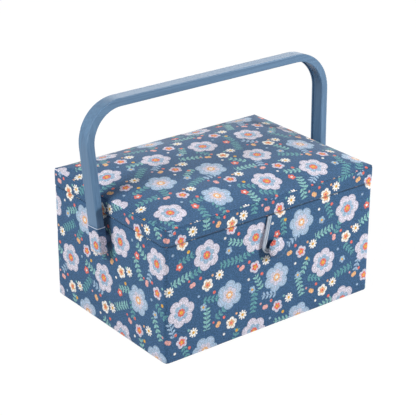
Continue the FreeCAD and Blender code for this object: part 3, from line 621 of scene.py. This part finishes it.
def body_cover(cotton):
    """Printed cloth round the walls, over the rim and down inside."""
    top = BODY_HIGH.z - SEAM_DROP
    soft = 0.8 * MM
    edge = 0.9 * MM
    profile = [(CLOTH, 0.0), (0.25 * MM, 0.05 * MM), (0.0, edge)]
    profile += [(0.0, edge + (top - soft - edge) * step / 18) for step in range(1, 19)]
    profile += [(soft - soft * math.cos(a), top - soft + soft * math.sin(a)) for a in quarter(5)]
    profile += [(WALL - soft + soft * math.sin(a), top - soft + soft * math.cos(a)) for a in quarter(5)]
    profile += [(WALL, top - soft - (TURN_IN - soft) * step / 4) for step in range(1, 5)]
    rows = ring_rows(profile, BODY_HIGH.x, BODY_HIGH.y, BODY_CORNER, 0.4 * MM)
    cover = sleeve("body_cover", rows, cotton)
    ripple(cover, 0.18 * MM, 24 * MM)
    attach(cover, "box")
    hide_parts("outer_cover")


def lid_skirt(cotton):
    """Printed cloth round the lid's edge, turned in below, with a crease where the padded top begins."""
    half_y = (LID_HIGH.y - LID_LOW.y) / 2
    middle = (LID_HIGH.y + LID_LOW.y) / 2
    low = LID_LOW.z + SEAM_DROP
    soft = 0.7 * MM
    crease = 1.4 * MM
    profile = [(WALL, LID_TURN_IN_TOP + (low + soft - LID_TURN_IN_TOP) * step / 4) for step in range(5)]
    profile += [(WALL - soft + soft * math.cos(a), low + soft - soft * math.sin(a)) for a in quarter(4)]
    profile += [(soft - soft * math.sin(a), low + soft - soft * math.cos(a)) for a in quarter(4)]
    profile += [(0.0, low + soft + (FOLD - crease - low - soft) * step / 6) for step in range(1, 7)]
    profile += [(0.15 * MM, FOLD - 0.8 * MM), (0.5 * MM, FOLD - 0.35 * MM), (1.2 * MM, FOLD - 0.6 * MM)]
    rows = ring_rows(profile, LID_HIGH.x, half_y, LID_CORNER, 0.5 * MM, middle)
    skirt = sleeve("lid_skirt", rows, cotton)
    ripple(skirt, 0.16 * MM, 22 * MM)
    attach(skirt, "lid")
    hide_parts("lid_cover")


def pad_height(inset):
    """Height of the padded top at a distance from its edge: a small step at the seam, then a soft slope."""
    return CROWN * (1 - 0.15 * math.exp(-inset / (3.5 * MM)) - 0.85 * math.exp(-inset / (26 * MM)))


def lid_pad(cotton):
    """Padded top of the lid: one panel of printed cloth over wadding, swollen and held round its edge."""
    edge = 0.3 * MM
    seat = 0.3 * MM
    tuck_in = 1.0 * MM
    tuck_down = 0.7 * MM
    even = 0.4
    blunt = 2.5
    half_x = LID_HIGH.x - edge
    half_y = (LID_HIGH.y - LID_LOW.y) / 2 - edge
    middle = (LID_HIGH.y + LID_LOW.y) / 2
    columns, rows = 110, 84
    points = []
    flat = []
    for j in range(rows + 1):
        for i in range(columns + 1):
            x = spread(i, columns, half_x, even)
            y = spread(j, rows, half_y, even)
            over = Vector((abs(x) - half_x + LID_CORNER, abs(y) - half_y + LID_CORNER))
            if min(over) > 0:
                over *= max(over) / over.length
                x = math.copysign(half_x - LID_CORNER + over.x, x)
                y = math.copysign(half_y - LID_CORNER + over.y, y)
            near_x = max(half_x - abs(x), 1e-6)
            near_y = max(half_y - abs(y), 1e-6)
            inset = (near_x ** -blunt + near_y ** -blunt) ** (-1 / blunt)
            points.append(Vector((x, middle + y, FOLD + seat + pad_height(inset))))
            flat.append((x + PAD_PRINT.x, y + PAD_PRINT.y))
    border = grid_border(columns, rows)
    faces = grid_faces(columns, rows)
    tuck = len(points)
    for index in border:
        p = points[index]
        points.append(Vector((p.x * (1 - tuck_in / half_x), middle + (p.y - middle) * (1 - tuck_in / half_y),
                              FOLD - tuck_down)))
        flat.append(flat[index])
    for n, index in enumerate(border):
        m = (n + 1) % len(border)
        faces.append((tuck + n, tuck + m, border[m], index))
    uvs = [flat[corner] for face in faces for corner in face]
    pad = mesh_piece("lid_pad", points, faces, cotton, uvs)
    settle(pad, border + list(range(tuck, len(points))), 1.2, 1.2 * MM)
    ripple(pad, 0.25 * MM, 30 * MM)
    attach(pad, "lid")
    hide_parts("lid_padding")


def hinge_strip(cotton, thread):
    """Strip of the printed cloth across the back seam, sewn along both edges."""
    low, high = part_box("hinge_cloth")
    columns, rows = 60, 56
    points = []
    flat = []
    for depth in (high.y, low.y):
        for j in range(rows + 1):
            level = low.z + (high.z - low.z) * j / rows
            for i in range(columns + 1):
                x = high.x + (low.x - high.x) * i / columns
                points.append(Vector((x, depth, level)))
                flat.append((HINGE_PRINT.x - x, level + HINGE_PRINT.y))
    inner = (columns + 1) * (rows + 1)
    faces = grid_faces(columns, rows) + grid_faces(columns, rows, first=inner, flipped=True)
    border = grid_border(columns, rows)
    for a, b in zip(border, border[1:] + border[:1]):
        faces.append((a, inner + a, inner + b, b))
    strip = mesh_piece("hinge_strip", points, faces, cotton, [flat[c] for face in faces for c in face])
    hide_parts("hinge_cloth")
    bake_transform(strip)
    inset = 2.6 * MM
    for name, level, body in (("hinge_stitches_box", low.z + inset, "box"),
                              ("hinge_stitches_lid", high.z - inset, "lid")):
        path = [Vector((high.x - inset, high.y, level)), Vector((low.x + inset, high.y, level))]
        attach(stitches(name, path, 3.4 * MM, 2.4 * MM, 0.34 * MM, thread), body)


def stitch_tree():
    """Geometry nodes that lay short rounded stitches along a seam."""
    given = (("Seam", "Geometry"), ("Spacing", "Float"), ("Length", "Float"), ("Thickness", "Float"),
             ("Thread", "Material"))
    group, inputs = new_group("stitches_along_seam", "GeometryNodeTree", given, (("Stitches", "Geometry"),))
    spots = add(group, "GeometryNodeCurveToPoints", {"Curve": inputs["Seam"], "Length": inputs["Spacing"]},
                mode="LENGTH").outputs
    bead = add(group, "GeometryNodeMeshUVSphere", (), {"Segments": 8, "Rings": 5, "Radius": 0.5})
    size = add(group, "ShaderNodeCombineXYZ",
               {0: inputs["Thickness"], 1: inputs["Thickness"], 2: inputs["Length"]})
    laid = add(group, "GeometryNodeInstanceOnPoints",
               {"Points": spots["Points"], "Instance": bead.outputs["Mesh"],
                "Rotation": spots["Rotation"], "Scale": size.outputs[0]})
    real = add(group, "GeometryNodeRealizeInstances", {0: laid.outputs[0]})
    sewn = add(group, "GeometryNodeSetMaterial", {"Geometry": real.outputs[0], "Material": inputs["Thread"]})
    add(group, "NodeGroupOutput", {"Stitches": sewn.outputs[0]})
    return group


STITCH_TREE = stitch_tree()


def curve_object(name, kind, places):
    """A curve object of one spline through some places, and the spline."""
    line = bpy.data.curves.new(name, "CURVE")
    line.dimensions = "3D"
    spline = line.splines.new(kind)
    spline.points.add(len(places) - 1)
    for point, place in zip(spline.points, places):
        point.co = (*place, 1.0)
    return show(bpy.data.objects.new(name, line)), spline


def stitches(name, path, spacing, length, thickness, thread):
    """A row of stitches along a path, as a plain mesh."""
    seam, _ = curve_object(name, "POLY", path)
    modifier = seam.modifiers.new("stitches", "NODES")
    modifier.node_group = STITCH_TREE
    values = {"Spacing": spacing, "Length": length, "Thickness": thickness, "Thread": thread}
    for item in STITCH_TREE.interface.items_tree:
        if item.in_out == "INPUT" and item.name in values:
            modifier[item.identifier] = values[item.name]
    return plain_mesh(seam)


def tube(name, path, radius, material, sides=12):
    """A round cord along a path, closed at both ends."""
    rows = []
    across = Vector((0, -1, 0))
    for index, place in enumerate(path):
        ahead = (path[min(index + 1, len(path) - 1)] - path[max(index - 1, 0)]).normalized()
        across = (across - ahead * across.dot(ahead)).normalized()
        beside = ahead.cross(across)
        rows.append([place + (across * math.cos(a) + beside * math.sin(a)) * radius
                     for a in (2 * math.pi * k / sides for k in range(sides))])
    return sleeve(name, rows, material, caps=True)


def closure_loop(elastic):
    """Elastic cord from the lid's edge, round the button's neck and back up beside itself."""
    line, spline = curve_object("loop_line", "NURBS", LOOP_ROUTE)
    spline.order_u = 3
    spline.use_endpoint_u = True
    spline.resolution_u = 8
    guide = plain_mesh(line)
    path = [v.co.copy() for v in guide.data.vertices]
    bpy.data.objects.remove(guide)
    loop = tube("elastic_loop", path, CORD / 2, elastic)
    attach(loop, "loop")
    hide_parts("closure_loop")


def button(cotton):
    """Cloth-covered button: a domed face, a rounded rim and the cloth drawn in behind."""
    low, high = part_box("button")
    centre = (low + high) / 2
    rim = (high.x - low.x) / 2
    side = low.y + 2.5 * MM
    soft = 0.9 * MM
    sides = 40
    steps = 9
    profile = [(3.0 * MM, high.y), (rim - soft - 1.2 * MM, high.y)]
    profile += [(rim - soft + soft * math.sin(a), high.y - soft + soft * math.cos(a))
                for a in [0.0] + quarter(5)]
    profile += [(rim * math.cos(a) ** 0.55, side + (low.y - side) * math.sin(a) ** 1.15)
                for a in [0.0] + quarter(steps)[:-1]]
    profile.append((0.5 * MM, low.y))
    rows = []
    for radius, depth in profile:
        rows.append([Vector((centre.x + radius * math.cos(a), depth, centre.z + radius * math.sin(a)))
                     for a in (2 * math.pi * k / sides for k in range(sides))])
    head = sleeve("covered_button", rows, cotton, caps=True)
    for loop, spot in zip(head.data.loops, head.data.uv_layers["cloth"].data):
        place = head.data.vertices[loop.vertex_index].co
        spot.uv = (place.x - centre.x + BUTTON_PRINT.x, place.z - centre.z + BUTTON_PRINT.y)
    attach(head, "box")
    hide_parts("button")


def leg_place(side, across, deep, level):
    """A place beside a leg's end: across and deep from its middle, at a level above the pivot."""
    spot = Vector((side * (LEG_MIDDLE + level * math.tan(HANDLE_SPLAY)) + across, deep, level))
    spot = Matrix.Rotation(-HANDLE_LEAN, 3, "X") @ spot
    return spot + Vector((0, 0, PIVOT_HEIGHT))


def foot_ring(side, grow, level):
    """Points round a foot at a level, grown past its faces."""
    spots = ring(FOOT_HALF + grow, FOOT_DEEP + grow, max(FOOT_CORNER + grow, 0.5 * MM), runs=(5, 9), turns=4)
    return [leg_place(side, p.x, p.y, level) for p in spots]


def foot(label, side, cotton, thread, edging):
    """Cloth foot sewn over a leg's end, with a turned hem at its top."""
    start, end = FOOT_SIDE_MM
    profile = list(FOOT_BOTTOM_MM) + [(0.0, start + (end - start) * k / 6) for k in range(7)]
    profile += FOOT_HEM_MM
    rows = [foot_ring(side, grow * MM, level * MM) for grow, level in profile]
    wrap = sleeve("cloth_foot_" + label, rows, cotton, caps=True)
    for spot in wrap.data.uv_layers["cloth"].data:
        spot.uv = spot.uv + FOOT_PRINT
    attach(wrap, "handle")
    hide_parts("handle_foot_" + label)
    hem, seam = [foot_ring(side, 0.0, level) for level in (FOOT_EDGING_LEVEL, FOOT_STITCH_LEVEL)]
    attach(tube("foot_edging_" + label, hem + hem[:1], 0.36 * MM, edging, sides=8), "handle")
    sewn = stitches("foot_stitches_" + label, seam + seam[:1], 2.8 * MM, 2.2 * MM, 0.6 * MM, thread)
    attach(sewn, "handle")


def padded_card(name, node, axis, facing, satin, body):
    """Satin over a thin padded card: the edges are round and the face swells a little."""
    low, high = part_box(node)
    a, b = [k for k in range(3) if k != axis]
    size = high - low
    thick = size[axis]
    soft = min(1.6 * MM, 0.7 * thick)
    base = low[axis] if facing > 0 else high[axis]
    columns, rows = [max(10, round(size[k] / (6 * MM))) for k in (a, b)]
    even = 0.55
    points = []
    for j in range(rows + 1):
        for i in range(columns + 1):
            s = spread(i, columns, size[a] / 2, even)
            t = spread(j, rows, size[b] / 2, even)
            near = min(size[a] / 2 - abs(s), size[b] / 2 - abs(t))
            lost = soft - math.sqrt(soft ** 2 - max(soft - near, 0.0) ** 2)
            sunk = 0.25 * MM * math.exp(-near / (14 * MM))
            place = Vector((0, 0, 0))
            place[a] = (low[a] + high[a]) / 2 + s
            place[b] = (low[b] + high[b]) / 2 + t
            place[axis] = base + facing * (thick - lost - sunk)
            points.append(place)
    faces = grid_faces(columns, rows)
    border = grid_border(columns, rows)
    under = len(points)
    for index in border:
        place = points[index].copy()
        place[axis] = base
        points.append(place)
    for n in range(len(border)):
        m = (n + 1) % len(border)
        faces.append((border[m], border[n], under + n, under + m))
    faces.append(tuple(range(under + len(border) - 1, under - 1, -1)))
    if (facing > 0) != (axis != 1):
        faces = [tuple(reversed(face)) for face in faces]
    card = mesh_piece(name, points, faces, satin)
    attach(card, body)
    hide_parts(node)


def pocket_stand(s):
    """How far the pocket stands out, from 0 to 1, at a share of its half width: round at both ends."""
    return (1 - abs(s) ** 9) ** 0.5


def lid_pocket(satin):
    """Gathered pocket inside the lid: a bellied sheet with pleats that fan from its elastic mouth."""
    low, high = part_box("lid_pocket")
    half = high.x
    depth = high.z - low.z
    room = 0.9 * MM
    pleat_wide = 6.2 * MM
    pleat_high = 0.55 * MM
    columns, rows = 240, 40
    points = []
    for j in range(rows + 1):
        t = j / rows
        y = low.y + (high.y - low.y) * t
        belly = math.sqrt(max(1 - t ** 5, 0.0))
        pull = 0.25 + 0.75 * math.exp(-t / 0.25) + 0.35 * math.exp(-(1 - t) / 0.12)
        for i in range(columns + 1):
            s = 2 * i / columns - 1
            stand = pocket_stand(s)
            fan = 2.4 * noise.noise((s * 9, 0.4 * t, 0))
            gather = pleat_high * pull * math.sin(2 * math.pi * s * half / pleat_wide + fan)
            fall = (depth - room) * belly * stand + gather * belly * stand
            points.append(Vector((s * half, y, high.z - max(fall - 0.2 * MM, 0.05 * MM))))
    faces = grid_faces(columns, rows, flipped=True)
    pocket = mesh_piece("gathered_pocket", points, faces, satin)
    solid = pocket.modifiers.new("cloth", "SOLIDIFY")
    solid.thickness = 0.3 * MM
    solid.offset = -1.0
    pocket = plain_mesh(pocket)
    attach(pocket, "lid")
    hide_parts("lid_pocket")


def pocket_band(elastic):
    """Elastic along the pocket's mouth, rucked and rounded up at its ends like the pocket."""
    low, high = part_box("lid_pocket")
    band_low, band_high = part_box("pocket_elastic")
    thick = 0.55 * MM
    steps = 200
    rows = []
    for i in range(steps + 1):
        s = 2 * i / steps - 1
        x = s * high.x
        ruck = 0.22 * MM * math.sin(2 * math.pi * x / (3.1 * MM))
        top = band_high.z + (high.z - low.z) * (1 - pocket_stand(s))
        section = ((band_low.y, top + ruck), (band_low.y, top - thick + ruck),
                   (band_high.y, top - thick - ruck), (band_high.y, top - ruck))
        rows.append([Vector((x, y, z)) for y, z in section])
    band = sleeve("pocket_elastic_band", rows, elastic, caps=True)
    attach(band, "lid")
    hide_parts("pocket_elastic")


def pin_cushion(felt, thread):
    """Stuffed pin cushion under the lid: swollen sides, a round crown and a ring of stitches at its seam."""
    low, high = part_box("pin_cushion")
    middle = (low + high) / 2
    half_x = (high.x - low.x) / 2
    half_y = (high.y - low.y) / 2
    tall = high.z - low.z
    steps = 12

    def outline(inset, corner, drop):
        spots = ring(half_x - inset, half_y - inset, corner, runs=(26, 12), turns=8)
        return [Vector((middle.x + p.x, middle.y + p.y, high.z - drop)) for p in spots]

    rows = []
    for k in range(steps + 1):
        angle = math.pi * 0.5 * k / steps
        inset = 1.6 * MM + (half_y - 5 * MM) * (1 - math.cos(angle)) ** 1.25
        if k == 0:
            inset += 1.4 * MM
        drop = tall * 0.92 * math.sin(angle) ** 0.8
        corner = 10 * MM if k < 4 else 12 * MM
        row = outline(inset, min(corner, half_y - inset - 0.2 * MM), drop)
        rows.append(list(reversed(row)))
    cushion = sleeve("stuffed_pin_cushion", rows, felt, caps=True)
    settle(cushion, list(range(len(rows[0]))), 2.0, 0.6 * MM)
    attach(cushion, "lid")
    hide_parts("pin_cushion")
    seam = outline(0.6 * MM, 10 * MM, 0.2 * MM)
    sewn = stitches("cushion_stitches", seam + seam[:1], 4.0 * MM, 2.6 * MM, 0.4 * MM, thread)
    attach(sewn, "lid")


# Camera, floor and light

def camera():
    """The photograph's camera, by its place, its direction and its roll."""
    data = bpy.data.cameras.new("camera")
    data.lens = CAMERA_LENS
    data.sensor_width = 36.0
    data.clip_end = 50.0
    eye = show(bpy.data.objects.new("camera", data))
    azimuth, elevation = math.radians(CAMERA_AZIMUTH), math.radians(CAMERA_ELEVATION)
    back = Vector((math.sin(azimuth) * math.cos(elevation), -math.cos(azimuth) * math.cos(elevation),
                   math.sin(elevation)))
    turn = (-back).to_track_quat("-Z", "Y").to_matrix() @ Matrix.Rotation(math.radians(CAMERA_ROLL), 3, "Z")
    eye.matrix_world = Matrix.Translation(CAMERA_PLACE) @ turn.to_4x4()
    SCENE.camera = eye


def seen_or_mirrored(tree):
    """1 for rays from the eye, from a gloss or through glass, and 0 for rays that only light a surface."""
    path = add(tree, "ShaderNodeLightPath").outputs
    mirrored = maths(tree, "MAXIMUM", path["Is Glossy Ray"], path["Is Transmission Ray"])
    return maths(tree, "MAXIMUM", path["Is Camera Ray"], mirrored)


def studio():
    """White floor that keeps the shadow, soft lamps round the box and an even white room."""
    material, tree, shader = new_material("white_floor", "#C4C4C4", 0.9)
    glow = add(tree, "ShaderNodeEmission", (), {"Color": (1, 1, 1, 1), "Strength": FLOOR_GLOW})
    share = maths(tree, "MULTIPLY", seen_or_mirrored(tree), FLOOR_GLOW_SHARE)
    blend = add(tree, "ShaderNodeMixShader", {0: share, 1: shader.outputs[0], 2: glow.outputs[0]})
    tree.links.new(blend.outputs[0], tree.nodes["Material Output"].inputs["Surface"])
    corners = [(x * FLOOR_HALF, y * FLOOR_HALF, 0) for x, y in ((-1, -1), (1, -1), (1, 1), (-1, 1))]
    mesh_piece("floor", corners, [(0, 1, 2, 3)], material)
    world = bpy.data.worlds.new("room")
    SCENE.world = world
    world.use_nodes = True
    room = world.node_tree
    background = room.nodes["Background"].inputs
    background["Color"].default_value = (1, 1, 1, 1)
    strength = mapped(room, seen_or_mirrored(room), to_low=ROOM_LIGHT, to_high=1.0)
    room.links.new(strength, background["Strength"])
    for name, place, power, width in LAMPS:
        data = bpy.data.lights.new(name, "AREA")
        data.energy = power
        data.size = width
        lamp = show(bpy.data.objects.new(name, data))
        lamp.location = place
        lamp.rotation_euler = (LAMP_TARGET - Vector(place)).to_track_quat("-Z", "Y").to_euler()
    SCENE.view_settings.view_transform = "Standard"


# The scene

camera()
studio()
cotton = printed_cotton()
plastic = moulded_polypropylene()
# The satin's second colour is the painted shade in its creases
satin = polyester_satin("polyester_satin", "#B0C6DE", "#98B2CF")
# Each elastic's second colour is painted shade on its lower plaits
elastic = braided_elastic("braided_elastic", "#D6DFEA", "#BECBDB")
pale_elastic = braided_elastic("pocket_elastic", "#C6D4E6", "#AEC2DA")
felt = speckled("wool_felt", "#EE8577", "#E27466", 0.95, 1.2, 0.5, Sheen_Weight=0.4)
thread = speckled("cotton_thread", "#F3CFA4", "#E6B988", 0.8, 0.4, 0.3)
pale_thread = speckled("pale_thread", "#DCE4EF", "#C3D0E2", 0.8, 0.4, 0.3)
backing = speckled("woven_backing", "#3C5678", "#314A6A", 0.9, 0.9, 0.5)
card = speckled("grey_board", "#A09D96", "#8E8B84", 0.9, 1.5, 0.2)
polystyrene = speckled("moulded_polystyrene", "#F1F3F5", "#E9ECEF", 0.28, 0.6, 0.04, IOR=1.59)
nylon = speckled("moulded_nylon", "#3F5C82", "#375273", 0.5, 0.5, 0.1)
steel = speckled("nickel_plated_steel", "#C9C7C2", "#B9B7B2", 0.28, 0.4, 0.05, Metallic=1.0)
closure_loop(elastic)
body_cover(cotton)
lid_skirt(cotton)
lid_pad(cotton)
hinge_strip(cotton, pale_thread)
button(cotton)
foot("left", -1, cotton, thread, pale_thread)
foot("right", 1, cotton, thread, pale_thread)
for node, axis, facing in (("lining_floor", 2, 1), ("lining_front", 1, 1), ("lining_back", 1, -1),
                           ("lining_left", 0, 1), ("lining_right", 0, -1)):
    padded_card("satin_" + node, node, axis, facing, satin, "box")
padded_card("satin_lid_lining", "lid_lining", 2, -1, satin, "lid")
lid_pocket(satin)
pocket_band(pale_elastic)
pin_cushion(felt, pale_thread)
dress(plastic, "handle")
dress(backing, "base_cloth")
dress(polystyrene, "tray")
dress(nylon, "button_shank", "pivot_spacers")
dress(steel, "button_washer", "handle_rivets", "rivet_washers")
dress(card, "base_board", "front_board", "back_board", "left_board", "right_board")
dress(card, "lid_board", "lid_front_rail", "lid_back_rail", "lid_left_rail", "lid_right_rail")
